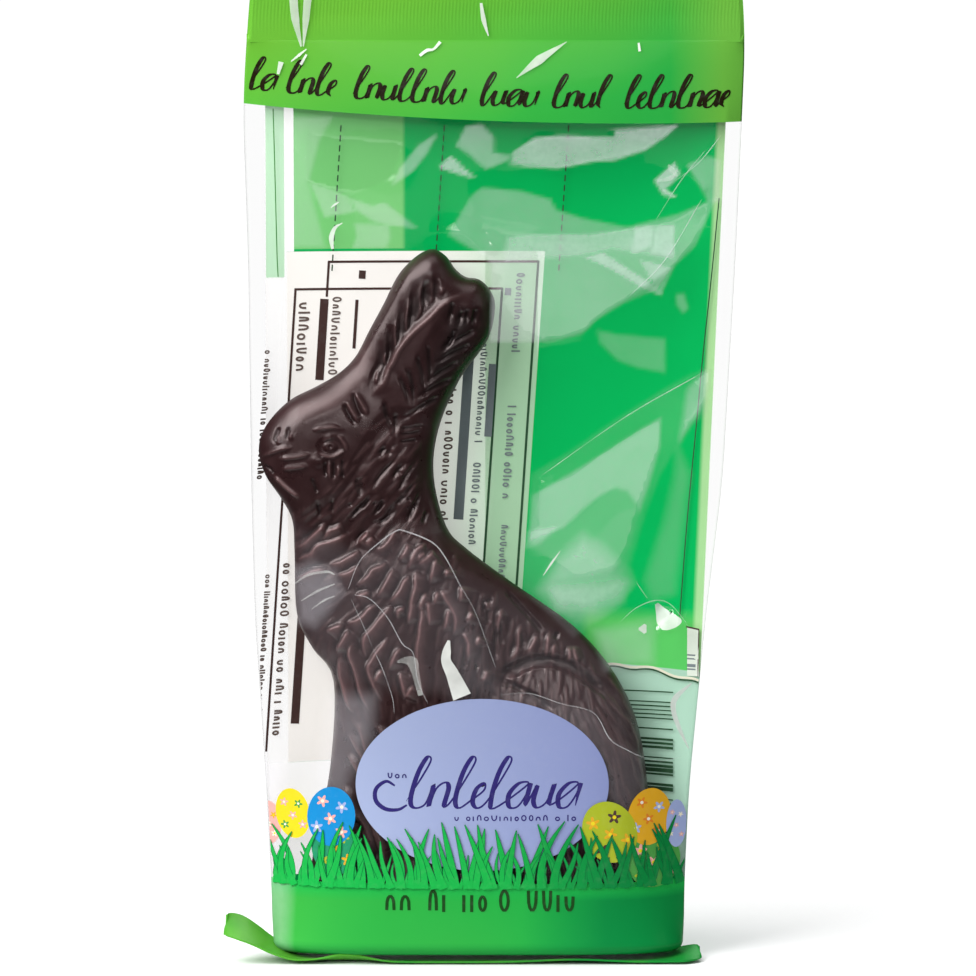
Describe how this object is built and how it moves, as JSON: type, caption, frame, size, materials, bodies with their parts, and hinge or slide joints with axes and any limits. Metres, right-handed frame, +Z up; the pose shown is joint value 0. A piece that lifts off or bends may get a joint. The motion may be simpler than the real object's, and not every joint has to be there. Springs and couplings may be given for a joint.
{
  "type": "dark chocolate bunny",
  "caption": "Solid moulded dark chocolate bunny standing in its sealed clear bag, with printed bands at head and foot, a crimped top seal and a folded foot seal.",
  "frame": {"origin": "middle of the flat foot that the bag stands on, in the plane that halves the rabbit front to back", "axes": "+Z up along the bag, the printed front faces -Y, +X to the right of the front"},
  "size_m": [0.099, 0.0175, 0.19],
  "materials": {
    "wrapped_chocolate": "clear film over dark chocolate, as one plain colour",
    "chocolate": "satin dark chocolate with moulded fur, brown-black",
    "film": "thin clear glossy film, printed green at head and foot",
    "print": "glossy green print on the back of the bag, with a cream panel"
  },
  "bodies": {
    "root": {"bag": "wrapped_chocolate"}
  },
  "joints": []
}
